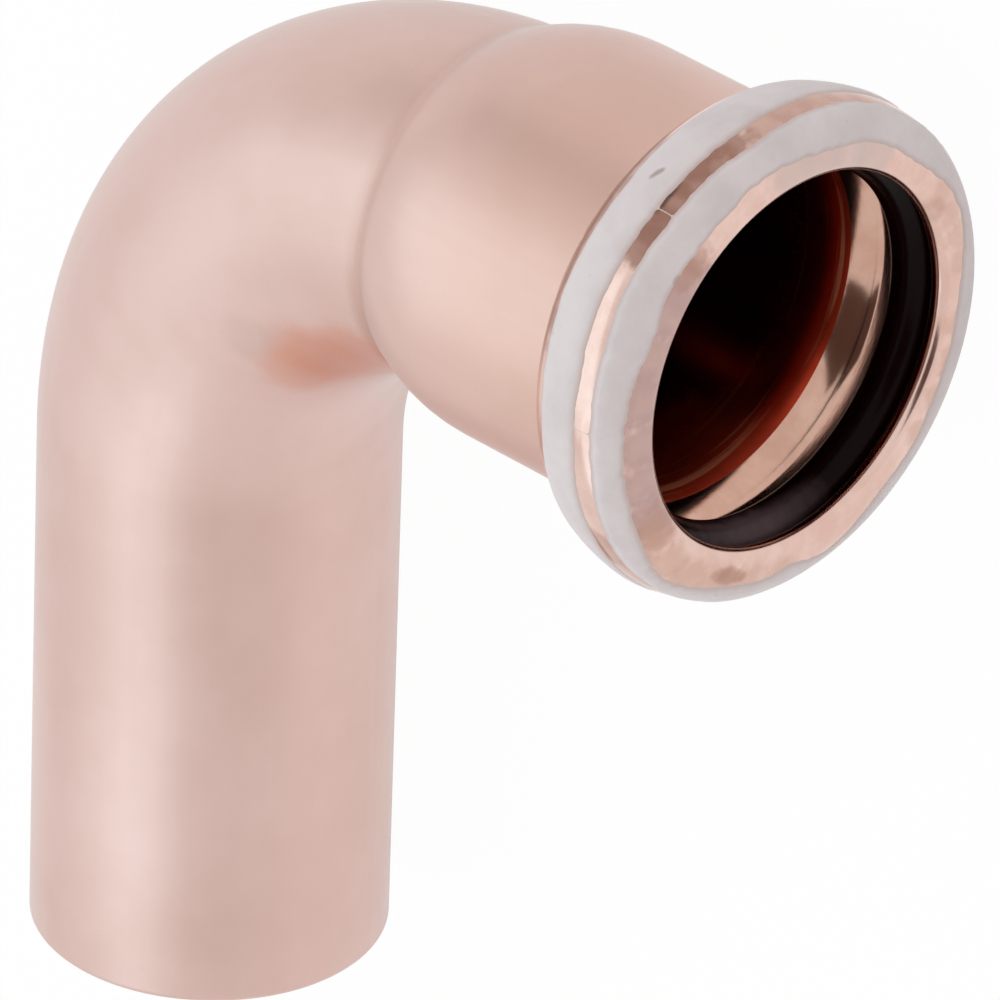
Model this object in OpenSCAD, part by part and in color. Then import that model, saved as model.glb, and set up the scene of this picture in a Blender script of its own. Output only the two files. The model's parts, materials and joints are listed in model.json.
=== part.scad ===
// Copper press elbow, 90 degrees: a plain end, a tight bend and a press socket that holds
// a seal ring and carries an indicator film on its bead. One tube is formed to all of the copper.
// Millimetres. The elbow lies on its side: socket along +X, plain end along -Y, +Z up.
// The origin is on the socket's axis, where the round shoulder runs into the straight bore.

/* [Tube] */
// Outside diameter of the plain end and of the bend
tube_d = 22; // [20:0.5:24]
// Thickness of the copper wall
wall = 1.5; // [1.1:0.1:1.9]
// Radius of the bend along its centre line
bend_r = 24.8; // [22:0.2:27]
// Distance from the socket's axis to the cut of the plain end
plain_end_reach = 58.8; // [45:0.2:90]
// Rounding of the outer edge at the cut
cut_edge_r = 0.4; // [0.1:0.1:0.8]

/* [Press socket] */
// Distance from the plain end's axis to the face of the mouth
mouth_reach = 47.6; // [45:0.2:50]
// Depth that a pipe of tube_d goes in before the shoulder stops it
insertion = 21; // [19:0.2:23]
// Play of that pipe in the bore, on the radius
pipe_play = 0.2; // [0.1:0.05:0.4]
// How much wider than the bore the in-turned lip is, on the radius
lip_play = 0.5; // [0.2:0.05:0.8]

/* [Seal] */
// Thickness of the seal ring's round section
seal_section = 2.9; // [2.4:0.1:3.4]
// How far the seal ring stands into the bore, on the radius
seal_proud = 0.15; // [0.05:0.05:0.25]
// Clearance from the seal ring to the lip and to the top of its chamber
seal_gap = 0.1; // [0.05:0.05:0.2]
// Spare length of the chamber behind the seal ring
seal_room = 2.3; // [1.7:0.1:2.9]

/* [Bead] */
// Inside radius of the bead's two corners
corner_r = 1.2; // [0.9:0.1:1.4]
// Radius of the outside of the bead along its crest
crest_arc_r = 10; // [8:0.5:14]
// Distance from the mouth's face back to the highest line of the crest
crest_back = 2.4; // [1.8:0.1:3.4]
// Radius of the fillet where the bead rises from the outside of the socket
root_r = 0.5; // [0.3:0.1:0.7]
// Radius of the rounding where the bore opens into the seal's chamber
chamber_round_r = 4.8; // [4.2:0.1:5.4]

/* [Indicator film] */
// Thickness of the film
film_t = 0.2; // [0.1:0.05:0.3]
// Height above the socket at which the film starts on the back of the bead
film_back = 2; // [1.6:0.1:2.4]
// Diameter at which the film is trimmed on the face of the mouth
film_trim_d = 26.8; // [26.5:0.1:27.4]
// How far that trim lies out of centre
film_skew = 0.75; // [0.1:0.05:0.9]
// Direction of the trim's offset round the socket, in degrees
film_skew_at = 190; // [0:5:355]
// Width of the open strip along the crest
strip_w = 0.9; // [0.6:0.1:1.5]
// Distance from the mouth's face back to the middle of the strip
strip_back = 2.4; // [1.9:0.1:2.9]
// Number of windows that make up the strip
strip_windows = 7; // [4:1:9]
// Width of the film left standing between two windows
bridge_w = 0.4; // [0.3:0.1:1.2]
// Direction of the first bridge round the socket, in degrees
bridge_at = 127; // [0:0.1:360]

/* [Hidden] */
$fn = 96;
copper = [0.84, 0.68, 0.62];
rubber = [0.07, 0.06, 0.07];
film_white = [0.83, 0.82, 0.82];
// Overshoot of a cut past the face that it opens
past = 1;

tube_r = tube_d / 2;
bore_r = tube_r + pipe_play;
socket_r = bore_r + wall;
lip_r = bore_r + lip_play;

// Places along the socket's axis, from the end of the shoulder
mouth_x = insertion - sqrt(bore_r * bore_r - tube_r * tube_r);
plain_axis_x = mouth_x - mouth_reach;
lip_inside_x = mouth_x - wall;
seal_x = lip_inside_x - seal_gap - seal_section / 2;
chamber_back_x = lip_inside_x - seal_gap - seal_section - seal_room;
crest_x = mouth_x - crest_back;
strip_x = mouth_x - strip_back;

// The seal ring sets the height of the chamber, and the chamber sets the bead
seal_mid_r = bore_r - seal_proud + seal_section / 2;
bead_r = seal_mid_r + seal_section / 2 + seal_gap + wall;

// Centres of the bead's arcs, each as [radius, place along the axis]
corner_out_r = corner_r + wall;
crest_mid = [bead_r - crest_arc_r, crest_x];
back_mid = corner_mid(chamber_back_x + corner_r);
front_mid = corner_mid(lip_inside_x - corner_r);
root_mid = fillet_mid(socket_r + root_r, root_r + corner_out_r);
chamber_mid = fillet_mid(bore_r + chamber_round_r, chamber_round_r + corner_r);

// Centre of a corner arc at x that runs smoothly into the crest's arc
function corner_mid(x) =
    [crest_mid.x + sqrt(pow(crest_arc_r - corner_out_r, 2) - pow(crest_x - x, 2)), x];

// Centre of a fillet at the given radius that keeps its distance from the back corner's centre
function fillet_mid(radius, distance) =
    [radius, back_mid.y - sqrt(pow(distance, 2) - pow(radius - back_mid.x, 2))];

// A point on the line from the crest's centre through p, outside the bead
function beyond(p) = crest_mid + 2 * (p - crest_mid) * crest_arc_r / norm(p - crest_mid);

// Turns a half profile, drawn as [radius, place along the axis], round the socket's axis
module turned_on_socket(angle = 360) {
    rotate([0, 90, 0]) rotate_extrude(angle = angle) children();
}

// Half profile of the bead, grown outwards by grow
module bead_profile(grow) {
    back_x = back_mid.y - corner_out_r - grow;
    front_x = front_mid.y + corner_out_r + grow;
    intersection() {
        translate(crest_mid) circle(crest_arc_r + grow);
        polygon([crest_mid, beyond(back_mid), beyond(front_mid)]);
    }
    for (mid = [back_mid, front_mid])
        translate(mid) circle(corner_out_r + grow);
    polygon([
        [0, back_x], [back_mid.x, back_x], back_mid,
        front_mid, [front_mid.x, front_x], [0, front_x]
    ]);
}

// Half profile of the fillet of radius r about mid, from the straight length to the bead
module fillet_profile(mid, r) {
    difference() {
        polygon([[0, mid.y], mid, back_mid, [0, back_mid.y]]);
        translate(mid) circle(r);
    }
}

// Half profile of a whole socket: round shoulder and straight length of the given radius,
// fillet of radius fillet_r about mid, and the bead grown by grow
module socket_profile(radius, mid, fillet_r, grow) {
    intersection() {
        circle(radius);
        translate([0, -2 * radius]) square(2 * radius);
    }
    square([radius, mid.y]);
    fillet_profile(mid, fillet_r);
    bead_profile(grow);
}

// Half profile of the opening through the lip, whose edge is fully rounded
module mouth_profile() {
    nose_r = wall / 2;
    difference() {
        translate([0, crest_x]) square([lip_r + nose_r, crest_back + past]);
        translate([lip_r + nose_r, mouth_x - nose_r]) circle(nose_r);
    }
}

// A solid bar of radius r through the bend, where the two axes cross at the origin
module bend(r) {
    translate([bend_r, -bend_r, 0]) rotate([0, 0, 90])
        rotate_extrude(angle = 90) translate([bend_r, 0]) circle(r);
}

// A solid bar of radius r from the bend's end to the middle of the shoulder
module neck(r) {
    translate([bend_r, 0, 0]) rotate([0, 90, 0])
        cylinder(h = -plain_axis_x - bend_r, r = r);
}

// Puts what is drawn along +Z on the plain end's axis, from the bend outwards
module on_plain_end() {
    translate([0, -bend_r, 0]) rotate([90, 0, 0]) children();
}

module plain_end() {
    length = plain_end_reach - bend_r;
    on_plain_end() rotate_extrude() {
        square([tube_r, length - cut_edge_r]);
        square([tube_r - cut_edge_r, length]);
        translate([tube_r - cut_edge_r, length - cut_edge_r]) circle(cut_edge_r);
    }
}

module elbow_body() {
    bore_length = plain_end_reach - bend_r + past;
    color(copper) difference() {
        union() {
            translate([plain_axis_x, 0, 0]) {
                plain_end();
                bend(tube_r);
                neck(tube_r);
            }
            turned_on_socket() socket_profile(socket_r, root_mid, root_r, 0);
        }
        translate([plain_axis_x, 0, 0]) {
            on_plain_end() cylinder(h = bore_length, r = tube_r - wall);
            bend(tube_r - wall);
            neck(tube_r - wall);
        }
        turned_on_socket() socket_profile(bore_r, chamber_mid, chamber_round_r, -wall);
        turned_on_socket() mouth_profile();
    }
}

module seal_ring() {
    color(rubber) turned_on_socket()
        translate([seal_mid_r, seal_x]) circle(seal_section / 2);
}

// One window of the strip, as the sector that cuts it out of the film
module strip_window(start, angle) {
    rotate([start, 0, 0]) turned_on_socket(angle)
        translate([bead_r - past, strip_x - strip_w / 2]) square([film_t + 2 * past, strip_w]);
}

// One film shrunk over the bead, with a row of windows that bare its crest
module press_indicator() {
    film_out_r = bead_r + film_t;
    bridge_angle = 2 * asin(bridge_w / 2 / film_out_r);
    pitch = 360 / strip_windows;
    skew = film_skew * [cos(film_skew_at), sin(film_skew_at)];
    color(film_white) difference() {
        turned_on_socket() difference() {
            bead_profile(film_t);
            bead_profile(0);
            translate([0, root_mid.y]) square([socket_r + film_back, crest_x - root_mid.y]);
        }
        rotate([0, 90, 0]) translate([skew.x, skew.y, crest_x])
            cylinder(h = crest_back + past, d = film_trim_d);
        for (i = [0 : strip_windows - 1])
            strip_window(bridge_at + i * pitch + bridge_angle / 2, pitch - bridge_angle);
    }
}

elbow_body();
seal_ring();
press_indicator();
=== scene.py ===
"""A copper press elbow on a pale floor: drawn tube, pressed socket, seal ring and indicator film."""
import json
import math

import bmesh
import bpy
from mathutils import Matrix, Vector, noise


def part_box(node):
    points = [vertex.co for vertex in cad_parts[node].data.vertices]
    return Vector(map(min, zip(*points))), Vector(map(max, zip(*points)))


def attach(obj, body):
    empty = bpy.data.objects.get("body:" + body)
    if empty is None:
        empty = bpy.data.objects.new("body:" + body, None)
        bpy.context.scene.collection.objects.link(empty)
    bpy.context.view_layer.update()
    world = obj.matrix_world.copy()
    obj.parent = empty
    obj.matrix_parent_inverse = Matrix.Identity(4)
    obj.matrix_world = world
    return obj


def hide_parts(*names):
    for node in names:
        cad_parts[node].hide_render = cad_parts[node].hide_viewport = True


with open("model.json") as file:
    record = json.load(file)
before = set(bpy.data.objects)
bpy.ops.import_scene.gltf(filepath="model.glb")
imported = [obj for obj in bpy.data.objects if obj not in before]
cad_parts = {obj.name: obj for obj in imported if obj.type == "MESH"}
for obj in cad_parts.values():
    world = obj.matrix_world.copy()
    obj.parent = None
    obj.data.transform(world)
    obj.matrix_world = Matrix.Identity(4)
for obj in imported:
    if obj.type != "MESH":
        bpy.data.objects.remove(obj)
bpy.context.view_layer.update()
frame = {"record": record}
mounts = {m["name"]: m for m in frame["record"]["mounts"]}

# Sizes of the drawn tube, in millimetres
MM = 0.001
TUBE_R = mounts["plain_end"]["dims"]["r_mm"]
BORE_R = mounts["press_socket"]["dims"]["r_mm"]
WALL = 1.5
WATERWAY_R = TUBE_R - WALL
BEND_R = 24.8
PLAIN_X = mounts["plain_end"]["pos_m"][0] / MM
CUT_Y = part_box("elbow_body")[0].y / MM
CUT_EDGE = 0.4
DEBURR = 0.12
CREASE_ROUND = 0.4

# Sizes of the press socket, along its axis from the end of the shoulder
SOCKET_R = BORE_R + WALL
MOUTH_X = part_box("elbow_body")[1].x / MM
LIP_R = BORE_R + 0.5
LIP_INSIDE = MOUTH_X - WALL
NOSE_R = WALL / 2
SEAL_SECTION = 2.9
SEAL_GAP = 0.1
SEAL_PROUD = 0.15
SEAL_ROOM = 2.3
SEAL_X = LIP_INSIDE - SEAL_GAP - SEAL_SECTION / 2
SEAL_R = BORE_R - SEAL_PROUD + SEAL_SECTION / 2
CHAMBER_BACK = SEAL_X - SEAL_SECTION / 2 - SEAL_ROOM
BEAD_R = SEAL_R + SEAL_SECTION / 2 + SEAL_GAP + WALL
CORNER_IN = 1.2
CORNER_OUT = CORNER_IN + WALL
CREST_ARC = 10.0
CREST_X = MOUTH_X - 2.4
ROOT_R = 0.5
CHAMBER_ROUND = 4.8

# Sizes of the film on the bead
FILM_T = 0.2
FILM_SUNK = 0.03
FEATHER = 0.8
FILM_BACK_R = SOCKET_R + 2
FILM_TRIM_R = 13.4
FILM_SKEW = 0.75
FILM_SKEW_AT = math.radians(190)
STRIP_X = CREST_X
STRIP_W = 0.9
BRIDGES = 7
BRIDGE_W = 0.4
BRIDGE_AT = math.radians(127)

# Fineness of the meshes: points round a ring, rows along the tube, and rows across the film before the
# bare strip, on it and after it
AROUND = 192
SEAL_AROUND = 48
FILM_AROUND = 720
PLAIN_ROWS = 8
BEND_ROWS = 48
FAN_ROWS = 16
FILM_ROWS = (14, 4, 22)

# How close points lie that are merged, or that count as one place
MERGED = 1e-4
CLOSE = 2e-3

# The last part of the bend, whose rings fan out until they lie along the shoulder's ring, and the gap
# that is left to it for the rounding of the crease
FAN = math.radians(24)
FAN_GAP = 1.2 * CREASE_ROUND


def corner_mid(x):
    """Centre, as (x, radius), of a bead corner at x whose arc runs smoothly into the crest."""
    reach = math.sqrt((CREST_ARC - CORNER_OUT) ** 2 - (CREST_X - x) ** 2)
    return x, BEAD_R - CREST_ARC + reach


def heading(start, end):
    """Angle of the line from start to end, both (x, radius)."""
    return math.atan2(end[1] - start[1], end[0] - start[0])


def fillet_mid(radius, distance):
    """Centre, as (x, radius), of a fillet that keeps its distance from the back corner's centre."""
    return BACK_MID[0] - math.sqrt(distance ** 2 - (radius - BACK_MID[1]) ** 2), radius


CREST_MID = (CREST_X, BEAD_R - CREST_ARC)
BACK_MID = corner_mid(CHAMBER_BACK + CORNER_IN)
FRONT_MID = corner_mid(LIP_INSIDE - CORNER_IN)
ROOT_MID = fillet_mid(SOCKET_R + ROOT_R, ROOT_R + CORNER_OUT)
CHAMBER_MID = fillet_mid(BORE_R + CHAMBER_ROUND, CHAMBER_ROUND + CORNER_IN)
BACK_TURN = heading(CREST_MID, BACK_MID)
FRONT_TURN = heading(CREST_MID, FRONT_MID)
ROOT_TURN = heading(ROOT_MID, BACK_MID)
CHAMBER_TURN = heading(CHAMBER_MID, BACK_MID)
BEND_MID = Vector((PLAIN_X + BEND_R, -BEND_R, 0))


class ProfilePen:
    """Draws a half profile in the XZ plane, run by run."""

    def __init__(self, bm, start):
        self.bm = bm
        self.tip = bm.verts.new((start[0], 0, start[1]))

    def line(self, end, cuts=1):
        """A straight run to end, in equal cuts."""
        step = (Vector((end[0], 0, end[1])) - self.tip.co) / cuts
        for _ in range(cuts):
            made = bmesh.ops.extrude_vert_indiv(self.bm, verts=[self.tip])
            self.tip = made["verts"][0]
            bmesh.ops.translate(self.bm, verts=[self.tip], vec=step)

    def arc(self, mid, turn, cuts):
        """A run round mid through the angle turn, positive from +X towards +Z."""
        made = bmesh.ops.spin(
            self.bm, geom=[self.tip], cent=(mid[0], 0, mid[1]), axis=(0, -1, 0),
            angle=turn, steps=cuts, use_duplicate=False,
        )
        self.tip = made["geom_last"][0]


def spin_round_socket(bm, steps):
    """Spins the drawn profile right round the socket's axis and closes the seam."""
    bmesh.ops.spin(
        bm, geom=bm.verts[:] + bm.edges[:], cent=(0, 0, 0), axis=(1, 0, 0),
        angle=math.tau, steps=steps, use_merge=True,
    )
    bmesh.ops.remove_doubles(bm, verts=bm.verts[:], dist=MERGED)


def only(geometry, kind):
    """The vertices or the edges among what an operator made."""
    return [g for g in geometry if isinstance(g, kind)]


def ring_edges(bm, is_on):
    """The edges whose two ends both pass is_on."""
    return [e for e in bm.edges if all(is_on(v.co) for v in e.verts)]


def on_socket_ring(x, radius):
    """A test for points of the ring about the socket's axis at x and radius."""
    def is_on(co):
        return abs(co.x - x) < CLOSE and abs(math.hypot(co.y, co.z) - radius) < CLOSE
    return is_on


def on_cut_ring(radius):
    """A test for points of the ring of that radius on the plain end's cut."""
    def is_on(co):
        return abs(co.y - CUT_Y) < CLOSE and abs(math.hypot(co.x - PLAIN_X, co.z) - radius) < CLOSE
    return is_on


def crease_x(tube_r, shoulder_r):
    """Where a tube on the socket's axis runs into the round shoulder."""
    return -math.sqrt(shoulder_r ** 2 - tube_r ** 2)


OUT_CREASE = (crease_x(TUBE_R, SOCKET_R), TUBE_R)
IN_CREASE = (crease_x(WATERWAY_R, BORE_R), WATERWAY_R)


def draw_socket(bm):
    """The press socket in one run: along the outside to the face, round the lip and back inside."""
    pen = ProfilePen(bm, OUT_CREASE)
    pen.arc((0, 0), math.pi / 2 - heading((0, 0), OUT_CREASE), 6)
    pen.line((ROOT_MID[0], SOCKET_R), 5)
    pen.arc(ROOT_MID, ROOT_TURN + math.pi / 2, 10)
    pen.arc(BACK_MID, BACK_TURN - ROOT_TURN - math.pi, 10)
    pen.arc(CREST_MID, FRONT_TURN - BACK_TURN, 12)
    pen.arc(FRONT_MID, -FRONT_TURN, 16)
    pen.line((MOUTH_X, LIP_R + NOSE_R), 2)
    pen.arc((MOUTH_X - NOSE_R, LIP_R + NOSE_R), -math.pi, 16)
    pen.line((LIP_INSIDE, FRONT_MID[1]), 2)
    pen.arc(FRONT_MID, FRONT_TURN, 8)
    pen.arc(CREST_MID, BACK_TURN - FRONT_TURN, 10)
    pen.arc(BACK_MID, CHAMBER_TURN + math.pi - BACK_TURN, 10)
    pen.arc(CHAMBER_MID, -CHAMBER_TURN - math.pi / 2, 24)
    pen.line((0, BORE_R), 5)
    pen.arc((0, 0), heading((0, 0), IN_CREASE) - math.pi / 2, 6)
    spin_round_socket(bm, AROUND)


def draw_tube(bm, crease):
    """One skin of the plain end and the bend, up to a ring just short of the shoulder's crease."""
    end_x, radius = crease[0] - FAN_GAP, crease[1]
    place = Matrix.Translation((PLAIN_X, -BEND_R, 0)) @ Matrix.Rotation(math.pi / 2, 4, "X")
    ring = bmesh.ops.create_circle(bm, segments=AROUND, radius=radius, matrix=place)["verts"]
    start = list({e for v in ring for e in v.link_edges})
    run = start
    for _ in range(PLAIN_ROWS):
        made = bmesh.ops.extrude_edge_only(bm, edges=run)["geom"]
        tips = only(made, bmesh.types.BMVert)
        run = [e for e in only(made, bmesh.types.BMEdge) if all(v in tips for v in e.verts)]
        bmesh.ops.translate(bm, verts=tips, vec=(0, (CUT_Y + BEND_R) / PLAIN_ROWS, 0))
    bent = bmesh.ops.spin(
        bm, geom=start, cent=BEND_MID, axis=(0, 0, 1), angle=FAN - math.pi / 2,
        steps=BEND_ROWS, use_duplicate=False,
    )["geom_last"]
    known = set(bm.verts)
    fanned = bmesh.ops.spin(
        bm, geom=only(bent, bmesh.types.BMEdge), cent=BEND_MID, axis=(0, 0, 1), angle=-FAN,
        steps=FAN_ROWS, use_duplicate=False,
    )["geom_last"]
    for vert in bm.verts:
        if vert in known:
            continue
        across = BEND_MID.x - vert.co.x
        out = vert.co.y - BEND_MID.y
        reach = math.hypot(across, out)
        turn = math.atan2(across, out)
        turn += (1 - turn / FAN) * math.asin((BEND_MID.x - end_x) / reach)
        vert.co.x = BEND_MID.x - reach * math.sin(turn)
        vert.co.y = BEND_MID.y + reach * math.cos(turn)
    return only(fanned, bmesh.types.BMEdge)


def unrolled(co):
    """A point of the elbow, in metres, on the same tube laid out straight along Z."""
    x, y, z = co / MM
    if y < -BEND_R:
        return Vector((PLAIN_X - x, z, y + BEND_R - BEND_R * math.pi / 2)) * MM
    if x < BEND_MID.x:
        turn = math.atan2(BEND_MID.x - x, y - BEND_MID.y)
        out = math.hypot(BEND_MID.x - x, y - BEND_MID.y) - BEND_R
        return Vector((out, z, -BEND_R * turn)) * MM
    return Vector((y, z, x - BEND_MID.x)) * MM


def as_piece(name, bm, node, materials):
    """Turns a bmesh drawn in millimetres into a piece that stands for a CAD node."""
    bmesh.ops.scale(bm, verts=bm.verts[:], vec=(MM, MM, MM))
    for face in bm.faces:
        face.smooth = True
    mesh = bpy.data.meshes.new(name)
    bm.to_mesh(mesh)
    bm.free()
    for material in materials:
        mesh.materials.append(material)
    piece = bpy.data.objects.new(name, mesh)
    bpy.context.scene.collection.objects.link(piece)
    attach(piece, "root")
    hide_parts(node)
    return piece


def write_unrolled(mesh):
    """Stores each point's place on the straight tube, for patterns that follow the bend."""
    layer = mesh.attributes.new("unrolled", "FLOAT_VECTOR", "POINT")
    for vert, item in zip(mesh.vertices, layer.data):
        item.vector = unrolled(vert.co)


# Order of the copper finishes on the elbow, and what tells them apart: how far a face may turn inwards and
# still count as outside, the back of the lip, and the start of the bright rounding
DRAWN, PRESSED, ROUNDED, INSIDE = range(4)
FACES_OUT = -0.2
LIP_BACK = LIP_INSIDE - 0.02
ROUNDED_FROM = CHAMBER_MID[0] + CHAMBER_ROUND / 2


def away_from_axis(co):
    """The direction from the tube's centre line to a point, in millimetres."""
    if co.y < -BEND_R:
        return Vector((co.x - PLAIN_X, 0, co.z)).normalized()
    if co.x < BEND_MID.x:
        out = Vector((co.x - BEND_MID.x, co.y - BEND_MID.y, 0))
        return (co - BEND_MID - out.normalized() * BEND_R).normalized()
    return Vector((0, co.y, co.z)).normalized()


def copper_finish(face):
    """Which copper finish a face has, by its place and the way it faces."""
    middle = face.calc_center_median()
    outside = face.normal.dot(away_from_axis(middle)) > FACES_OUT
    if middle.x > ROOT_MID[0] and (outside or middle.x > LIP_BACK):
        return PRESSED
    if outside:
        return DRAWN
    return ROUNDED if middle.x > ROUNDED_FROM else INSIDE


def make_elbow(materials):
    """The formed copper: one wall from the plain end's cut to the lip."""
    bm = bmesh.new()
    draw_socket(bm)
    out_end = draw_tube(bm, OUT_CREASE)
    in_end = draw_tube(bm, IN_CREASE)
    out_crease = ring_edges(bm, on_socket_ring(*OUT_CREASE))
    in_crease = ring_edges(bm, on_socket_ring(*IN_CREASE))
    bmesh.ops.bridge_loops(bm, edges=out_end + out_crease)
    bmesh.ops.bridge_loops(bm, edges=in_end + in_crease)
    out_cut = ring_edges(bm, on_cut_ring(TUBE_R))
    in_cut = ring_edges(bm, on_cut_ring(WATERWAY_R))
    bmesh.ops.bridge_loops(bm, edges=out_cut + in_cut)
    bmesh.ops.recalc_face_normals(bm, faces=bm.faces[:])
    for edges, offset, segments in (
        (out_crease, CREASE_ROUND, 8), (in_crease, CREASE_ROUND, 4),
        (out_cut, CUT_EDGE, 5), (in_cut, DEBURR, 3),
    ):
        bmesh.ops.bevel(
            bm, geom=edges, offset=offset, offset_type="OFFSET", segments=segments,
            profile=0.5, affect="EDGES", material=-1, clamp_overlap=True,
        )
    bmesh.ops.recalc_face_normals(bm, faces=bm.faces[:])
    for face in bm.faces:
        face.material_index = copper_finish(face)
    piece = as_piece("elbow_copper", bm, "elbow_body", materials)
    write_unrolled(piece.data)


def make_seal(material):
    """The seal ring in its chamber."""
    bm = bmesh.new()
    place = Matrix.Translation((SEAL_X, 0, SEAL_R)) @ Matrix.Rotation(math.pi / 2, 4, "X")
    bmesh.ops.create_circle(bm, segments=SEAL_AROUND, radius=SEAL_SECTION / 2, matrix=place)
    spin_round_socket(bm, AROUND)
    bmesh.ops.recalc_face_normals(bm, faces=bm.faces[:])
    as_piece("seal_rubber_ring", bm, "seal_ring", [material])


# Lengths along the film's outside: the ends of its back corner, crest and front corner
FILM_CORNER = CORNER_OUT + FILM_T
FILM_START = math.pi - math.asin((FILM_BACK_R - BACK_MID[1]) / FILM_CORNER)
BACK_END = FILM_CORNER * (FILM_START - BACK_TURN)
CREST_END = BACK_END + (CREST_ARC + FILM_T) * (BACK_TURN - FRONT_TURN)
CORNER_END = CREST_END + FILM_CORNER * FRONT_TURN

# Places where the film's edges wander: direction and half width in degrees, and how far in millimetres
TRIM_WANDER = (
    (24, 17, 1.2), (66, 16, 0.45), (103, 12, 0.3), (154, 9, -0.4), (227, 14, 0.65), (269, 5, -0.45),
    (285, 9, 0.8), (316, 7, 0.25),
)
STRIP_WANDER = ((100, 18, 0.3), (150, 16, -0.25), (250, 30, 0.2), (320, 30, -0.2))
BACK_WANDER = ((126, 7, 0.12), (150, 10, -0.15), (182, 16, 0.3), (230, 30, 0.15))

# Ripples of the film's edges: seed, waves round the socket, and depth in millimetres
BACK_RIPPLES = ((1, 3, 0.08), (2, 18, 0.08))
STRIP_BACK_RIPPLES = ((3, 6, 0.1), (7, 26, 0.09))
STRIP_FRONT_RIPPLES = ((4, 6, 0.1), (8, 26, 0.08))
TRIM_RIPPLES = ((5, 5, 0.08), (6, 22, 0.12))
SEED_STEP = 7.3

# How often a range is halved to find a length in it
HALVINGS = 40


def film_at(along, lift):
    """The point (x, radius) at a length along the film's section, lifted off the copper."""
    if along < BACK_END:
        mid, reach, turn = BACK_MID, CORNER_OUT, FILM_START - along / FILM_CORNER
    elif along < CREST_END:
        mid, reach, turn = CREST_MID, CREST_ARC, BACK_TURN - (along - BACK_END) / (CREST_ARC + FILM_T)
    elif along < CORNER_END:
        mid, reach, turn = FRONT_MID, CORNER_OUT, FRONT_TURN - (along - CREST_END) / FILM_CORNER
    else:
        return MOUTH_X + lift, FRONT_MID[1] - (along - CORNER_END)
    return mid[0] + (reach + lift) * math.cos(turn), mid[1] + (reach + lift) * math.sin(turn)


def film_length_at(x):
    """The length along the film's section at which its crest or front corner reaches x."""
    low, high = BACK_END, CORNER_END
    for _ in range(HALVINGS):
        middle = (low + high) / 2
        if film_at(middle, FILM_T)[0] < x:
            low = middle
        else:
            high = middle
    return low


STRIP_BACK = film_length_at(STRIP_X - STRIP_W / 2)
STRIP_FRONT = film_length_at(STRIP_X + STRIP_W / 2)


def ripple(turn, ripples):
    """How far an edge is moved at one direction by smooth ripples that close on themselves."""
    total = 0
    for seed, waves, depth in ripples:
        at = Vector((math.cos(turn) * waves, math.sin(turn) * waves, seed * SEED_STEP))
        total += depth * noise.noise(at)
    return total


def wander(turn, places):
    """How far an edge is moved at one direction by a list of wandering places."""
    total = 0
    for at, half, far in places:
        off = (math.degrees(turn) - at + 180) % 360 - 180
        total += far * math.exp(-(off / half) ** 2)
    return total


def film_edges(turn):
    """Lengths along the section at one direction: back edge, both sides of the strip, front edge."""
    back = wander(turn, BACK_WANDER) + ripple(turn, BACK_RIPPLES)
    shift = wander(turn, STRIP_WANDER)
    strip_back = STRIP_BACK + shift + ripple(turn, STRIP_BACK_RIPPLES)
    strip_front = STRIP_FRONT + shift + ripple(turn, STRIP_FRONT_RIPPLES)
    trim = FILM_TRIM_R + FILM_SKEW * math.cos(turn - FILM_SKEW_AT)
    trim += wander(turn, TRIM_WANDER) + ripple(turn, TRIM_RIPPLES)
    if trim > FRONT_MID[1]:
        front = CORNER_END - FILM_CORNER * math.asin((trim - FRONT_MID[1]) / FILM_CORNER)
    else:
        front = CORNER_END + FRONT_MID[1] - trim
    return back, strip_back, strip_front, front


def bridge_off(turn):
    """Distance round the crest from the middle of the nearest bridge."""
    pitch = math.tau / BRIDGES
    off = (turn - BRIDGE_AT + pitch / 2) % pitch - pitch / 2
    return abs(off) * (BEAD_R + FILM_T)


def film_depth(turn, along, edges):
    """Depth of the film, 0 at its edges and 1 where it is full, at a length along its section."""
    back, strip_back, strip_front, front = edges
    to_strip = max(strip_back - along, along - strip_front, 0)
    to_window = math.hypot(to_strip, max(BRIDGE_W / 2 - bridge_off(turn), 0))
    share = min(1, min(along - back, front - along, to_window) / FEATHER)
    return share * share * (3 - 2 * share)


def film_row_length(row, edges):
    """The length along the section of a row of the film's grid."""
    low = 0
    for rows, start, end in zip(FILM_ROWS, edges, edges[1:]):
        if row <= low + rows + CLOSE:
            return start + (end - start) * (row - low) / rows
        low += rows
    return edges[-1]


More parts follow.
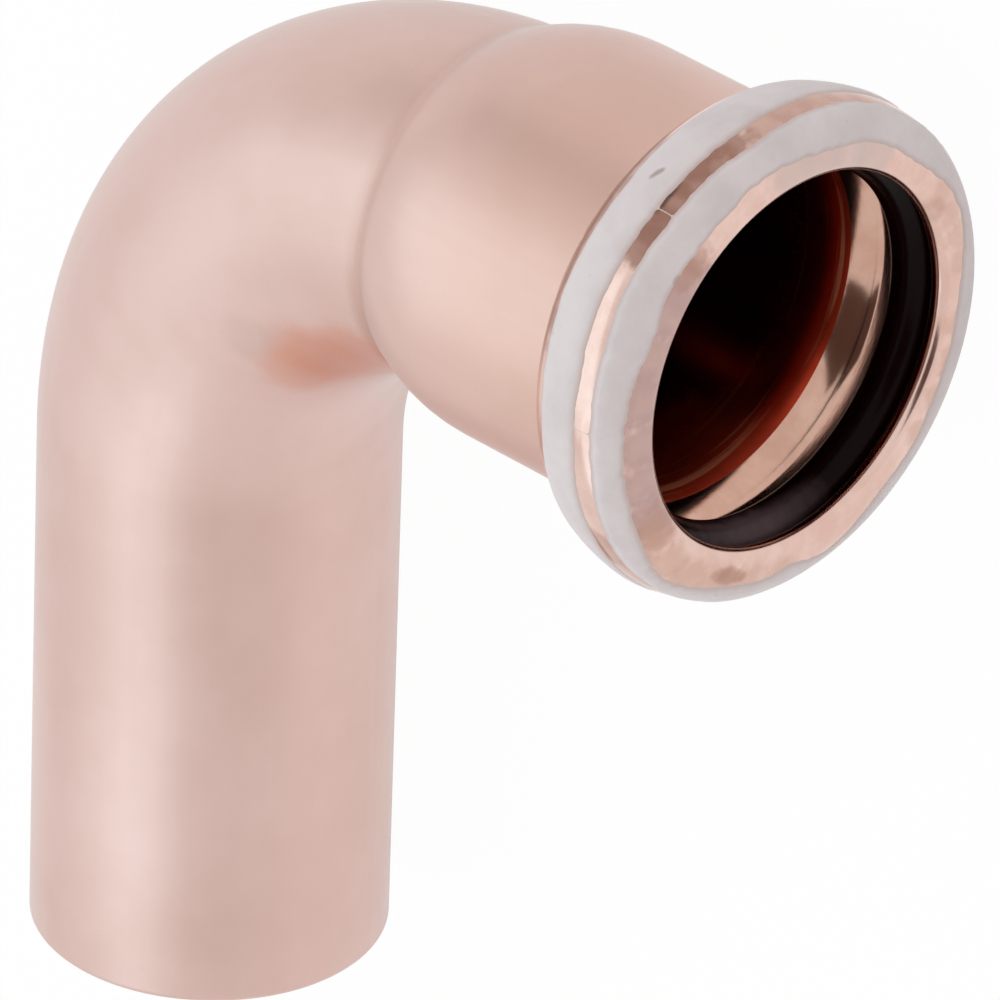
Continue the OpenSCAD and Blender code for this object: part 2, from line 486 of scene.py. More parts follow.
def make_film(material):
    """The shrunk film on the bead, with the open strip along its crest and its feathered edges."""
    bm = bmesh.new()
    pen = ProfilePen(bm, (0, BEAD_R))
    pen.line((sum(FILM_ROWS), BEAD_R), sum(FILM_ROWS))
    spin_round_socket(bm, FILM_AROUND)
    bared = []
    for face in bm.faces:
        middle = face.calc_center_median()
        on_strip = FILM_ROWS[0] < middle.x < FILM_ROWS[0] + FILM_ROWS[1]
        if on_strip and bridge_off(math.atan2(middle.y, -middle.z)) > BRIDGE_W / 2:
            bared.append(face)
    bmesh.ops.delete(bm, geom=bared, context="FACES")
    depth_layer = bm.verts.layers.float.new("depth")
    edges_at = {}
    for vert in bm.verts:
        turn = math.atan2(vert.co.y, -vert.co.z)
        key = round(turn * FILM_AROUND / math.tau) % FILM_AROUND
        if key not in edges_at:
            edges_at[key] = film_edges(turn)
        along = film_row_length(vert.co.x, edges_at[key])
        depth = film_depth(turn, along, edges_at[key])
        x, radius = film_at(along, FILM_T * depth - FILM_SUNK * (1 - depth))
        vert[depth_layer] = depth
        vert.co = (x, radius * math.sin(turn), -radius * math.cos(turn))
    bmesh.ops.recalc_face_normals(bm, faces=bm.faces[:])
    bm.faces.ensure_lookup_table()
    first = bm.faces[0]
    if first.normal.dot(away_from_axis(first.calc_center_median())) < 0:
        bmesh.ops.reverse_faces(bm, faces=bm.faces[:])
    piece = as_piece("indicator_film_sleeve", bm, "press_indicator", [material])
    wall = piece.modifiers.new("film thickness", "SOLIDIFY")
    wall.thickness = (FILM_T + FILM_SUNK) * MM
    wall.offset = -1
    wall.use_even_offset = False


def metres(*lengths):
    """Lengths in millimetres as metres."""
    return tuple(length * MM for length in lengths)


# Places of the colour sockets on a mix node
MIX_FIRST, MIX_SECOND, MIX_RESULT = 6, 7, 2


class Nodes:
    """A node tree, with short calls for its nodes."""

    def __init__(self, tree):
        self.tree = tree
        self.tree.nodes.clear()

    def node(self, kind, **settings):
        """A new node with these settings."""
        made = self.tree.nodes.new(kind)
        for name, value in settings.items():
            setattr(made, name, value)
        return made

    def feed(self, socket, value):
        """Joins an output to a socket, or sets the socket to a plain value or a colour."""
        if isinstance(value, bpy.types.NodeSocket):
            self.tree.links.new(value, socket)
        elif socket.type == "RGBA":
            socket.default_value = (*value, 1)
        else:
            socket.default_value = value

    def calc(self, operation, *values):
        """The result of a sum on values or outputs."""
        made = self.node("ShaderNodeMath", operation=operation)
        for socket, value in zip(made.inputs, values):
            self.feed(socket, value)
        return made.outputs[0]

    def vector_calc(self, operation, first, second):
        """The outputs of a sum on two vectors."""
        made = self.node("ShaderNodeVectorMath", operation=operation)
        self.feed(made.inputs[0], first)
        self.feed(made.inputs[1], second)
        return made.outputs

    def ramp(self, value, span, results=(0.0, 1.0), kind="LINEAR"):
        """A value that runs from one result to the other while the given one runs through span."""
        made = self.node("ShaderNodeMapRange", interpolation_type=kind)
        self.feed(made.inputs["Value"], value)
        for name, limit in zip(("From Min", "From Max", "To Min", "To Max"), (*span, *results)):
            self.feed(made.inputs[name], limit)
        return made.outputs["Result"]

    def band(self, value, span, results=(0.0, 1.0)):
        """A ramp with soft ends."""
        return self.ramp(value, span, results, "SMOOTHSTEP")

    def spread(self, value, low, high):
        """A 0 to 1 value laid out between low and high."""
        return self.ramp(value, (0.0, 1.0), (low, high))

    def noise(self, place, scale, detail=2.0, roughness=0.5):
        """Smooth noise at a set of coordinates, about 0.5 on the whole."""
        made = self.node("ShaderNodeTexNoise")
        values = {"Vector": place, "Scale": scale, "Detail": detail, "Roughness": roughness}
        for name, value in values.items():
            self.feed(made.inputs[name], value)
        return made.outputs["Fac"]

    def cells(self, place, scale, feature="F1"):
        """The outputs of a pattern of cells at a set of coordinates."""
        made = self.node("ShaderNodeTexVoronoi", feature=feature)
        self.feed(made.inputs["Vector"], place)
        self.feed(made.inputs["Scale"], scale)
        return made.outputs

    def parts(self, place):
        """The X, Y and Z outputs of a set of coordinates."""
        made = self.node("ShaderNodeSeparateXYZ")
        self.feed(made.inputs["Vector"], place)
        return made.outputs

    def blend(self, share, first, second):
        """A shader between two shaders."""
        made = self.node("ShaderNodeMixShader")
        for socket, value in zip(made.inputs, (share, first, second)):
            self.feed(socket, value)
        return made.outputs["Shader"]

    def finish_with(self, kind, shader):
        """Joins a shader to the tree's output."""
        self.feed(self.node(kind).inputs["Surface"], shader)


class Effect(Nodes):
    """A node group with a Place input, named values and named results."""

    def __init__(self, name, values, results):
        super().__init__(bpy.data.node_groups.new(name, "ShaderNodeTree"))
        interface = self.tree.interface
        interface.new_socket("Place", in_out="INPUT", socket_type="NodeSocketVector")
        for label, value in values.items():
            kind = "NodeSocketVector" if isinstance(value, tuple) else "NodeSocketFloat"
            interface.new_socket(label, in_out="INPUT", socket_type=kind).default_value = value
        for label in results:
            interface.new_socket(label, in_out="OUTPUT", socket_type="NodeSocketFloat")
        self.given = self.node("NodeGroupInput").outputs
        self.result = self.node("NodeGroupOutput").inputs


# How the marks and the spots of stain and painted light fade at their edges, how rare the specks are, and
# how fine the gaps in the hairs and the raggedness of those spots are, per metre
SPECK_EDGE = (0.05, 0.16)
SPECK_RARITY = 0.82
HAIR_EDGE = (0.0, 0.012)
HAIR_GAPS = 90.0
HAIR_GAP_EDGE = (0.55, 0.65)
SPOT_EDGE = (0.45, 1.0)
SPOT_RAGS = 900.0


def make_drawn_grain():
    """Long fine lines along Z and broad uneven tone, as drawing leaves them on tube."""
    values = {"Lines per metre": 1500.0, "Stretch": 60.0, "Patches per metre": 70.0}
    effect = Effect("drawn grain", values, ("Lines", "Patches"))
    given = effect.given
    across = given["Lines per metre"]
    scale = effect.node("ShaderNodeCombineXYZ")
    effect.feed(scale.inputs["X"], across)
    effect.feed(scale.inputs["Y"], across)
    effect.feed(scale.inputs["Z"], effect.calc("DIVIDE", across, given["Stretch"]))
    stretched = effect.vector_calc("MULTIPLY", given["Place"], scale.outputs["Vector"])["Vector"]
    effect.feed(effect.result["Lines"], effect.noise(stretched, 1.0, detail=3.0))
    patches = effect.noise(given["Place"], given["Patches per metre"], detail=4.0, roughness=0.6)
    effect.feed(effect.result["Patches"], patches)
    return effect.tree


def make_handling():
    """Specks and short hairline marks, as shipping and handling leave them."""
    values = {"Specks per metre": 900.0, "Hairs per metre": 220.0}
    effect = Effect("handling marks", values, ("Specks", "Hairs"))
    place = effect.given["Place"]
    specks = effect.cells(place, effect.given["Specks per metre"])
    small = effect.ramp(specks["Distance"], SPECK_EDGE, (1.0, 0.0))
    lot = effect.node("ShaderNodeSeparateColor")
    effect.feed(lot.inputs["Color"], specks["Color"])
    rare = effect.calc("GREATER_THAN", lot.outputs["Red"], SPECK_RARITY)
    effect.feed(effect.result["Specks"], effect.calc("MULTIPLY", small, rare))
    hairs = effect.cells(place, effect.given["Hairs per metre"], "DISTANCE_TO_EDGE")
    thin = effect.ramp(hairs["Distance"], HAIR_EDGE, (1.0, 0.0))
    broken = effect.ramp(effect.noise(place, HAIR_GAPS), HAIR_GAP_EDGE)
    effect.feed(effect.result["Hairs"], effect.calc("MULTIPLY", thin, broken))
    return effect.tree


def make_stain_and_painted_light_spot():
    """One ragged spot about a middle, full inside and gone past its radius."""
    values = {"Middle": (0.0, 0.0, 0.0), "Radius": 0.001, "Ragged": 1.0}
    effect = Effect("stain", values, ("Mask",))
    given = effect.given
    away = effect.vector_calc("DISTANCE", given["Place"], given["Middle"])["Value"]
    share = effect.calc("DIVIDE", away, given["Radius"])
    uneven = effect.calc("SUBTRACT", effect.noise(given["Place"], SPOT_RAGS, detail=3.0), 0.5)
    torn = effect.calc("MULTIPLY_ADD", uneven, given["Ragged"], share)
    effect.feed(effect.result["Mask"], effect.band(torn, SPOT_EDGE, (1.0, 0.0)))
    return effect.tree


drawn_grain = make_drawn_grain()
handling = make_handling()
stain = make_stain_and_painted_light_spot()


class Finish(Nodes):
    """One material of the elbow, with one shader."""

    def __init__(self, name):
        self.material = bpy.data.materials.new(name)
        self.material.use_nodes = True
        super().__init__(self.material.node_tree)
        self.shader = self.node("ShaderNodeBsdfPrincipled")
        self.finish_with("ShaderNodeOutputMaterial", self.shader.outputs["BSDF"])

    def set(self, **values):
        """Sets or joins the shader's own sockets, with _ for a blank in a name."""
        for name, value in values.items():
            self.feed(self.shader.inputs[name.replace("_", " ")], value)

    def tube_place(self):
        """Coordinates that follow the tube round its bend."""
        return self.node("ShaderNodeAttribute", attribute_name="unrolled").outputs["Vector"]

    def object_place(self):
        """Coordinates of the elbow itself."""
        return self.node("ShaderNodeTexCoord").outputs["Object"]

    def effect(self, tree, place, values=None):
        """The outputs of a node group on a set of coordinates, with this finish's own values."""
        made = self.node("ShaderNodeGroup", node_tree=tree)
        self.feed(made.inputs["Place"], place)
        for name, value in (values or {}).items():
            self.feed(made.inputs[name], value)
        return made.outputs

    def mix(self, share, first, second):
        """A colour between two tones or outputs."""
        made = self.node("ShaderNodeMix", data_type="RGBA")
        self.feed(made.inputs["Factor"], share)
        self.feed(made.inputs[MIX_FIRST], first)
        self.feed(made.inputs[MIX_SECOND], second)
        return made.outputs[MIX_RESULT]

    # Lays both real stains and spots of painted shade, reflection, sheen and light
    def stains_and_painted_light(self, colour, place, tone, spots, ragged=1.0):
        """Lays ragged spots of one tone over a colour: middle in millimetres, radius and strength."""
        for middle, radius, strength in spots:
            values = {"Middle": metres(*middle), "Radius": radius * MM, "Ragged": ragged}
            mask = self.effect(stain, place, values)["Mask"]
            colour = self.mix(self.calc("MULTIPLY", mask, strength), colour, tone)
        return colour

    def relief(self, height, depth):
        """Raises the surface by height, depth millimetres at most."""
        made = self.node("ShaderNodeBump")
        self.feed(made.inputs["Strength"], 1.0)
        self.feed(made.inputs["Distance"], depth * MM)
        self.feed(made.inputs["Height"], height)
        self.set(Normal=made.outputs["Normal"])


def round_bead(x, radius, turn):
    """A point in millimetres at a place along the socket, a radius and a direction in degrees."""
    return x, radius * math.sin(math.radians(turn)), -radius * math.cos(math.radians(turn))


def spots_round(x, radius, turns, size, strength):
    """A row of equal spots round the socket."""
    return [(round_bead(x, radius, turn), size, strength) for turn in turns]


# How softly patches of two tones run into each other
SOFT_PATCHES = (0.3, 0.7)
BRIGHT_PATCHES = (0.35, 0.7)
BLOOM_PATCHES = (0.45, 0.75)

# Tones of the drawn tube, each as a darker and a lighter one, tones of the painted shade in its crease, of
# dull spots and of the painted warm reflection in its throat, and how much rougher a speck is
TUBE_TONES = ((0.70, 0.485, 0.43), (0.755, 0.54, 0.49))
SOCKET_TONES = ((0.70, 0.46, 0.385), (0.745, 0.50, 0.43))
CREASE_SHADE_TONE = (0.51, 0.285, 0.22)
DULL_TONE = (0.56, 0.41, 0.37)
THROAT_REFLECTION_TONE = (0.715, 0.34, 0.23)
SPECK_ROUGH = 0.08

# Where the tube's tone turns to the socket's, along the unrolled tube in millimetres
SOCKET_TURNS = (-2, 9.5)
# Where the painted shade of the crease comes and goes along the socket, where it fades round it, and how
# strong it is before and after
CREASE_COMES = (-7.7, -6.6)
CREASE_GOES = (-6.1, -5.2)
CREASE_FADES = (-9, 4)
CREASE_SHADE = (0.75, 0.2)

# Spots in the throat of the bend, a painted warm reflection of the copper and duller grey ones: middle in
# millimetres, radius and strength
THROAT_REFLECTION_PAINTED = [
    ((-12.0, -10.1, 7.5), 4.6, 0.8), ((-14.6, -12.0, 7.2), 3.4, 0.5), ((-8.6, -7.8, 8.0), 3.8, 0.65),
]
THROAT_DULL = [((-16.4, -9.9, 9.6), 2.6, 0.22), ((-14.2, -9.2, 9.2), 2.2, 0.22)]


def copper_drawn():
    """Pale satin copper of the tube's outside, warmer where the socket was pressed out, with painted shade
    along the crease and a painted warm reflection in the throat.
    """
    finish = Finish("copper_drawn")
    place = finish.tube_place()
    grain = finish.effect(drawn_grain, place)
    marks = finish.effect(handling, place)
    patches = finish.band(grain["Patches"], SOFT_PATCHES)
    on_socket = finish.band(finish.parts(place)["Z"], metres(*SOCKET_TURNS))
    colour = finish.mix(on_socket, finish.mix(patches, *TUBE_TONES), finish.mix(patches, *SOCKET_TONES))
    spot_place = finish.object_place()
    at = finish.parts(spot_place)
    # Painted shade along the crease, stronger on the throat's side
    comes = finish.band(at["X"], metres(*CREASE_COMES))
    goes = finish.band(at["X"], metres(*CREASE_GOES), (1.0, 0.0))
    shade = finish.band(at["Y"], metres(*CREASE_FADES), CREASE_SHADE)
    crease = finish.calc("MULTIPLY", finish.calc("MULTIPLY", comes, goes), shade)
    colour = finish.mix(crease, colour, CREASE_SHADE_TONE)
    colour = finish.stains_and_painted_light(colour, spot_place, DULL_TONE, THROAT_DULL, ragged=0.4)
    # Painted warm reflection of the copper in the throat
    colour = finish.stains_and_painted_light(colour, spot_place, THROAT_REFLECTION_TONE, THROAT_REFLECTION_PAINTED, ragged=0.25)
    specks = finish.calc("MULTIPLY", marks["Specks"], SPECK_ROUGH)
    rough = finish.calc("ADD", finish.spread(grain["Lines"], low=0.36, high=0.44), specks)
    finish.set(Base_Color=colour, Metallic=1.0, Roughness=rough, Sheen_Weight=0.4, Sheen_Roughness=0.35)
    finish.relief(finish.calc("SUBTRACT", grain["Lines"], marks["Hairs"]), depth=0.002)
    return finish.material


# Tones of the pressed bead and lip
BEAD_TONES = ((0.72, 0.48, 0.41), (0.82, 0.59, 0.52))

# Spots in rows round the socket: stains on the lip's face, greyer spots at its top and tan ones on the
# bare strip, a painted mauve-grey reflection on the lip, a painted dark reflection on the strip and
# painted shade at the root
# Painted mauve-grey reflection on the left of the lip
LIP_REFLECTION_PAINTED = spots_round(MOUTH_X - 0.2, 12.9, (138, 146, 158, 170, 182, 194, 204), 2.6, 0.8)
LIP_GREY = spots_round(MOUTH_X - 0.1, 13.1, (66, 76, 86, 96), 2.4, 0.65)
LIP_TAN = spots_round(MOUTH_X - 0.4, 14, (212, 222, 232, 242, 254, 266), 1.9, 0.6)
LIP_TAN += spots_round(MOUTH_X - 0.1, 13.2, (8, 16, 24, 32, 320, 330, 340, 350), 1.3, 0.5)
STRIP_TAN = spots_round(STRIP_X, BEAD_R, (64, 72, 80, 88, 96, 212, 222, 233), 2.4, 0.7)
# Painted dark reflection on the bare strip
STRIP_DARK_REFLECTION_PAINTED = spots_round(STRIP_X, BEAD_R, (106, 112, 118, 124, 130, 135), 2.0, 0.75)
# Painted shade at the root of the bead, between the socket and the film's back edge
BEAD_ROOT_SHADE_PAINTED = spots_round(ROOT_MID[0] + 0.8, SOCKET_R + 1, range(114, 166, 6), 2.4, 0.8)

# One long brown stain that tapers to both ends, and single ones
LIP_BROWN = [
    (round_bead(MOUTH_X, 13.3, 246 + step * 1.4), 1.0 - 0.14 * abs(step), 0.32) for step in range(-4, 5)
]
LIP_BROWN += [
    ((18.81, 6.06, -10.49), 1.2, 0.3), ((18.79, -5.23, -12.52), 1.2, 0.4),
    ((18.87, -6.51, 11.46), 2.2, 0.4), ((18.82, 10.05, 8.98), 1.4, 0.4), ((18.85, 9.3, 9.7), 1.2, 0.4),
]

# The tones of the stains, painted reflections and painted shade, in the order in which they lie on each
# other
BEAD_STAINS_AND_PAINTED_LIGHT = (
    ((0.48, 0.32, 0.295), LIP_REFLECTION_PAINTED), ((0.58, 0.46, 0.42), LIP_GREY), ((0.58, 0.37, 0.29), LIP_TAN),
    ((0.40, 0.21, 0.15), LIP_BROWN), ((0.50, 0.31, 0.25), STRIP_TAN), ((0.30, 0.15, 0.11), STRIP_DARK_REFLECTION_PAINTED),
    ((0.42, 0.26, 0.22), BEAD_ROOT_SHADE_PAINTED),
)


def copper_pressed():
    """Bright copper of the bead and lip, rolled smooth in forming, stained in places, with painted
    reflections on the lip and the strip and painted shade at the bead's root.
    """
    finish = Finish("copper_pressed")
    grain = finish.effect(drawn_grain, finish.tube_place(), {"Stretch": 2.0, "Patches per metre": 240.0})
    colour = finish.mix(finish.band(grain["Patches"], BRIGHT_PATCHES), *BEAD_TONES)
    spot_place = finish.object_place()
    for tone, spots in BEAD_STAINS_AND_PAINTED_LIGHT:
        colour = finish.stains_and_painted_light(colour, spot_place, tone, spots)
    rough = finish.spread(grain["Patches"], low=0.12, high=0.26)
    finish.set(Base_Color=colour, Metallic=1.0, Roughness=rough)
    finish.relief(grain["Lines"], depth=0.002)
    return finish.material


# Tones of the mirror-bright rounding
ROUNDED_TONES = ((0.58, 0.34, 0.26), (0.66, 0.42, 0.33))


def copper_rounded():
    """Mirror-bright copper where the bore opens into the seal's chamber."""
    finish = Finish("copper_rounded")
    grain = finish.effect(drawn_grain, finish.tube_place(), {"Stretch": 0.2, "Patches per metre": 300.0})
    colour = finish.mix(finish.band(grain["Patches"], BRIGHT_PATCHES), *ROUNDED_TONES)
    rough = finish.spread(grain["Lines"], low=0.10, high=0.17)
    finish.set(Base_Color=colour, Metallic=1.0, Roughness=rough)
    finish.relief(grain["Lines"], depth=0.002)
    return finish.material


# Tones of the inside: painted shade in the depth, dark red painted shade in the opening of the bore and
# paler copper at the plain end's cut, then painted glints and painted red light
DEEP_SHADE_TONES = ((0.19, 0.036, 0.018), (0.26, 0.065, 0.036))
NEAR_SHADE_TONES = ((0.36, 0.03, 0.012), (0.50, 0.055, 0.024))
CUT_TONES = ((0.60, 0.36, 0.28), (0.68, 0.43, 0.345))
PAINTED_GLINT_TONE = (0.80, 0.30, 0.16)
PAINTED_RED_LIGHT_TONE = (0.62, 0.075, 0.03)

# Where the inside changes, in millimetres: from the cut inwards along the unrolled tube,
# towards the opening and along the scuffed part of the bore, and up from the bore's lowest line
CUT_ENDS = (-68, -42)
OPENING_STARTS = (5.8, 9.2)
SCUFF_STARTS = (3, 6)
SCUFF_ENDS = (-10.8, -8.5)

# How much rougher these places are, and the part of the rings that gets a painted glint
OPENING_ROUGH = 0.12
CUT_ROUGH = 0.32
SCUFF_ROUGH = 0.2
PAINTED_GLINT_BAND = (0.54, 0.66)

# Painted red light low in the bore, where the pipe slides in
BORE_RED_LIGHT_PAINTED = spots_round(6.6, BORE_R, (250, 262, 274, 286), 3.2, 0.8)


def copper_inside():
    """Copper of the bore and the waterway with painted shade, dark in the depth and dark red in the
    opening, painted glints on rings in the opening and painted red light low in the bore, paler at the
    cut.
    """
    finish = Finish("copper_inside")
    place = finish.tube_place()
    grain = finish.effect(drawn_grain, place, {"Patches per metre": 160.0})
    rings = finish.effect(drawn_grain, place, {"Lines per metre": 60.0, "Stretch": 0.03})
    patches = finish.band(grain["Patches"], SOFT_PATCHES)
    at_cut = finish.band(finish.parts(place)["Z"], metres(*CUT_ENDS), (1.0, 0.0))
    # Painted shade in the depth, giving way to paler copper towards the cut
    deep = finish.mix(at_cut, finish.mix(patches, *DEEP_SHADE_TONES), finish.mix(patches, *CUT_TONES))
    spot_place = finish.object_place()
    at = finish.parts(spot_place)
    opening = finish.band(at["X"], metres(*OPENING_STARTS))
    # Painted glints on the rings in the opening
    painted_glint = finish.calc("MULTIPLY", finish.band(rings["Lines"], PAINTED_GLINT_BAND), opening)
    # Painted dark red shade in the opening of the bore
    colour = finish.mix(opening, deep, finish.mix(patches, *NEAR_SHADE_TONES))
    colour = finish.mix(painted_glint, colour, PAINTED_GLINT_TONE)
    # Painted red light low in the bore
    colour = finish.stains_and_painted_light(colour, spot_place, PAINTED_RED_LIGHT_TONE, BORE_RED_LIGHT_PAINTED, ragged=0.4)
    low = finish.band(at["Y"], metres(*SCUFF_ENDS), (1.0, 0.0))
    scuffed = finish.calc("MULTIPLY", low, finish.band(at["X"], metres(*SCUFF_STARTS)))
    rough = finish.spread(grain["Lines"], low=0.14, high=0.26)
    for share, more in ((opening, OPENING_ROUGH), (at_cut, CUT_ROUGH), (scuffed, SCUFF_ROUGH)):
        rough = finish.calc("ADD", rough, finish.calc("MULTIPLY", share, more))
    finish.set(Base_Color=colour, Metallic=1.0, Roughness=rough)
    finish.relief(grain["Lines"], depth=0.003)
    return finish.material


# Tones of the seal and of the painted sheen low on its front, which fades to both ends
RUBBER_TONES = ((0.006, 0.001, 0.0012), (0.01, 0.002, 0.003))
PAINTED_SHEEN_TONE = (0.11, 0.07, 0.075)
SEAL_SHEEN_PAINTED = [
    (round_bead(SEAL_X + 1, SEAL_R - 1, 264 + step * 5), 1.8 - 0.12 * abs(step), 0.5 - 0.075 * abs(step))
    for step in range(-5, 6)
]


def seal_rubber():
    """Black moulded rubber, a little uneven in tone, with a painted sheen low on its front."""
    finish = Finish("seal_rubber")
    place = finish.object_place()
    marks = finish.effect(handling, place, {"Specks per metre": 1600.0})
    grain = finish.effect(drawn_grain, place, {"Lines per metre": 5200.0, "Stretch": 1.0})
    colour = finish.mix(finish.band(grain["Patches"], BLOOM_PATCHES), *RUBBER_TONES)
    # Painted sheen on the seal's front, low down
    colour = finish.stains_and_painted_light(colour, place, PAINTED_SHEEN_TONE, SEAL_SHEEN_PAINTED, ragged=0.5)
    rough = finish.spread(grain["Patches"], low=0.18, high=0.28)
    finish.set(Base_Color=colour, Roughness=rough, Specular_IOR_Level=0.06)
    finish.relief(finish.calc("ADD", grain["Lines"], marks["Specks"]), depth=0.008)
    return finish.material


# Tones of the film, of its specks, of its thin edges and of small dark marks on it
FILM_TONES = ((0.68, 0.60, 0.595), (0.765, 0.68, 0.675))
SPECK_TONE = (0.42, 0.33, 0.28)
SPECK_SHARE = 0.25
THIN_TONE = (0.62, 0.49, 0.46)
THIN_BAND = (0.05, 0.85)
MARK_TONE = (0.36, 0.26, 0.23)
FILM_MARKS = [
    ((14.0, 13.25, 8.05), 0.25, 0.5), ((14.1, 13.32, 7.9), 0.3, 0.5), ((14.2, 13.4, 7.75), 0.3, 0.5),
    ((14.3, 13.47, 7.6), 0.3, 0.5), ((14.4, 13.55, 7.45), 0.25, 0.5), ((18.78, 9.3, 10.4), 0.5, 0.5),
]


def film_matt():
    """Matt grey-white film, a little uneven where it shrank on and pinkish where it thins out."""
    finish = Finish("indicator_film")
    place = finish.object_place()
    values = {"Lines per metre": 900.0, "Stretch": 1.0, "Patches per metre": 260.0}
    grain = finish.effect(drawn_grain, place, values)
    marks = finish.effect(handling, place, {"Specks per metre": 700.0})
    plain = finish.mix(finish.band(grain["Patches"], SOFT_PATCHES), *FILM_TONES)
    speckled = finish.mix(finish.calc("MULTIPLY", marks["Specks"], SPECK_SHARE), plain, SPECK_TONE)
    depth = finish.node("ShaderNodeAttribute", attribute_name="depth").outputs["Fac"]
    colour = finish.mix(finish.band(depth, THIN_BAND), THIN_TONE, speckled)
    colour = finish.stains_and_painted_light(colour, place, MARK_TONE, FILM_MARKS)
    finish.set(Base_Color=colour, Roughness=finish.spread(grain["Patches"], low=0.42, high=0.6))
    finish.relief(grain["Lines"], depth=0.03)
    return finish.material


make_elbow([copper_drawn(), copper_pressed(), copper_rounded(), copper_inside()])
make_seal(seal_rubber())
make_film(film_matt())

# Camera, set to the photograph's view: angles turned from degrees, distance in metres, the rest in
# millimetres
TILT = math.radians(30.3396)
SWING = math.radians(45.6112)
ROLL = math.radians(1.9325)
DISTANCE = 0.885
LENS = 538.33
SENSOR = 36
AIM = (-11.107, -19.8, 0)
AIM_RIGHT = 4.312
AIM_DOWN = 2.075
back = Vector((math.cos(SWING) * math.cos(TILT), math.sin(TILT), math.sin(SWING) * math.cos(TILT)))
level = Vector((math.sin(SWING), 0, -math.cos(SWING)))
rise = back.cross(level)
right = level * math.cos(ROLL) + rise * math.sin(ROLL)
up = rise * math.cos(ROLL) - level * math.sin(ROLL)
aim = Vector(AIM) * MM + right * AIM_RIGHT * MM - up * AIM_DOWN * MM


def make_camera():
    """The camera, which sees the elbow as the photograph shows it."""
    lens = bpy.data.cameras.new("photo_camera")
    lens.lens = LENS
    lens.sensor_width = SENSOR
    lens.clip_end = 20
    camera = bpy.data.objects.new("photo_camera", lens)
    place = Matrix((right, up, back)).transposed().to_4x4()
    place.translation = aim + back * DISTANCE
    camera.matrix_world = place
    bpy.context.scene.collection.objects.link(camera)
    bpy.context.scene.camera = camera


def towards(to_right, to_up, to_camera):
    """A direction given in the camera's own frame."""
    return (right * to_right + up * to_up + back * to_camera).normalized()


def facing_elbow(direction, distance):
    """The place at a distance in a direction from the elbow, upright to the camera and facing it."""
    across = up.cross(direction).normalized()
    upright = direction.cross(across)
    turn = Matrix((across, upright, direction)).transposed().to_4x4()
    return Matrix.Translation(aim + direction * distance) @ turn


def softbox(name, direction, distance, size, power):
    """A rectangular soft light that faces the elbow, out of sight of the camera itself."""
    light = bpy.data.lights.new(name, "AREA")
    light.shape = "RECTANGLE"
    light.size, light.size_y = size
    light.energy = power
    light.color = COOL
    lamp = bpy.data.objects.new(name, light)
    lamp.matrix_world = facing_elbow(direction, distance)
    lamp.visible_camera = False
    bpy.context.scene.collection.objects.link(lamp)


def stage_piece(name, bm, material):
    """Puts a mesh on the stage, outside the object."""
    mesh = bpy.data.meshes.new(name)
    bm.to_mesh(mesh)
    bm.free()
    mesh.materials.append(material)
    piece = bpy.data.objects.new(name, mesh)
    bpy.context.scene.collection.objects.link(piece)
    return piece


# The floor's paint, the share of plain white that the camera sees on it, and its half width in metres
FLOOR_PAINT = (0.86, 0.86, 0.86)
FLOOR_SHOWN = 0.97
FLOOR_HALF = 3
# Roughness of the cards, strength of the studio where 1 is white, and the colour of the lights
CARD_ROUGH = 0.9
ROOM = 0.93
COOL = (0.6, 0.9, 1.0)


def floor_white():
    """White to the camera with a faint shadow, white to mirrors and plain paint to the light."""
    paint = bpy.data.materials.new("floor_white")
    paint.use_nodes = True
    nodes = Nodes(paint.node_tree)
    matt = nodes.node("ShaderNodeBsdfDiffuse")
    nodes.feed(matt.inputs["Color"], FLOOR_PAINT)
    white = nodes.node("ShaderNodeEmission")
    nodes.feed(white.inputs["Strength"], 1.0)
    path = nodes.node("ShaderNodeLightPath").outputs
    mirrored = nodes.calc("MAXIMUM", path["Is Glossy Ray"], path["Is Transmission Ray"])
    share = nodes.calc("MULTIPLY_ADD", path["Is Camera Ray"], FLOOR_SHOWN, mirrored)
    shown = nodes.blend(share, matt.outputs["BSDF"], white.outputs["Emission"])
    nodes.finish_with("ShaderNodeOutputMaterial", shown)
    return paint


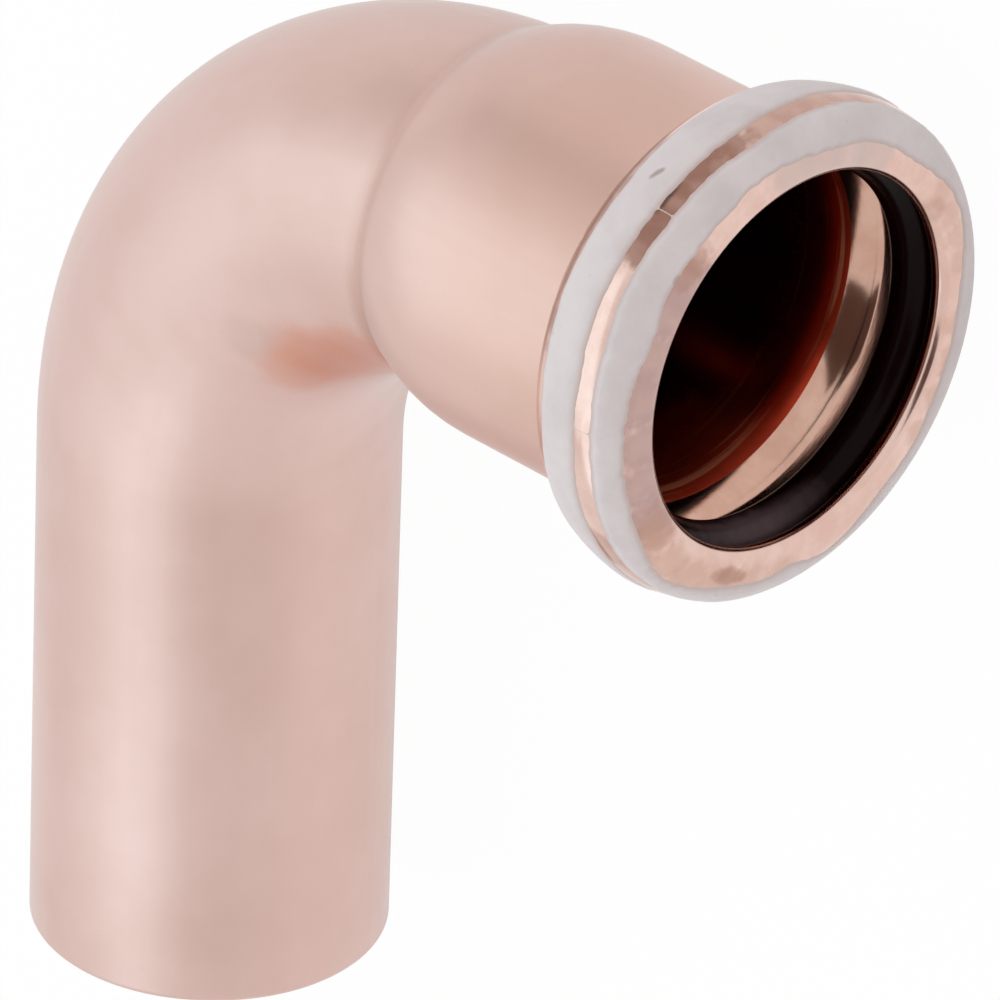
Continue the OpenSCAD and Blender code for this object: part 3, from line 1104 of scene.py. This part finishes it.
def make_floor():
    """A plain pale floor, tipped so that the elbow rests on its bead and plain end."""
    slope = math.atan2(BEAD_R + FILM_T - TUBE_R, CREST_X - PLAIN_X)
    bm = bmesh.new()
    bmesh.ops.create_grid(bm, x_segments=1, y_segments=1, size=FLOOR_HALF)
    bmesh.ops.rotate(bm, verts=bm.verts[:], cent=(0, 0, 0), matrix=Matrix.Rotation(slope, 3, "Y"))
    lowest = Vector((PLAIN_X, 0, -TUBE_R / math.cos(slope))) * MM
    bmesh.ops.translate(bm, verts=bm.verts[:], vec=lowest)
    stage_piece("floor", bm, floor_white())


def make_card(name, direction, distance, size, colour):
    """A dark card that the bright copper mirrors, out of sight of the camera itself."""
    paint = bpy.data.materials.new(name)
    paint.use_nodes = True
    shader = paint.node_tree.nodes["Principled BSDF"]
    shader.inputs["Base Color"].default_value = (*colour, 1)
    shader.inputs["Roughness"].default_value = CARD_ROUGH
    bm = bmesh.new()
    bmesh.ops.create_grid(bm, x_segments=1, y_segments=1, size=1)
    bmesh.ops.scale(bm, verts=bm.verts[:], vec=(size[0] / 2, size[1] / 2, 1))
    bmesh.ops.transform(bm, verts=bm.verts[:], matrix=facing_elbow(direction, distance))
    card = stage_piece(name, bm, paint)
    card.visible_camera = False


def make_world():
    """A white background for the camera and an even studio round the elbow."""
    world = bpy.data.worlds.new("studio")
    bpy.context.scene.world = world
    world.use_nodes = True
    nodes = Nodes(world.node_tree)
    whites = []
    for strength in (ROOM, 1.0):
        white = nodes.node("ShaderNodeBackground")
        nodes.feed(white.inputs["Color"], (1, 1, 1))
        nodes.feed(white.inputs["Strength"], strength)
        whites.append(white.outputs["Background"])
    shown = nodes.blend(nodes.node("ShaderNodeLightPath").outputs["Is Camera Ray"], *whites)
    nodes.finish_with("ShaderNodeOutputWorld", shown)


make_camera()
make_floor()
make_world()
make_card(
    "dark_card_camera", towards(-0.03, -0.38, 0.92),
    distance=0.95, size=(0.72, 0.66), colour=(0.12, 0.07, 0.055),
)
make_card(
    "dark_card_far", Vector((-0.62, 0.76, 0.2)).normalized(),
    distance=0.8, size=(0.12, 0.14), colour=(0.08, 0.08, 0.08),
)
softbox("left_softbox", towards(-0.95, -0.03, 0.15), distance=0.7, size=(0.55, 0.72), power=0.62)
softbox("low_softbox", towards(-0.68, -0.7, 0.22), distance=0.7, size=(0.42, 0.42), power=0.34)
bpy.context.scene.view_settings.view_transform = "Standard"
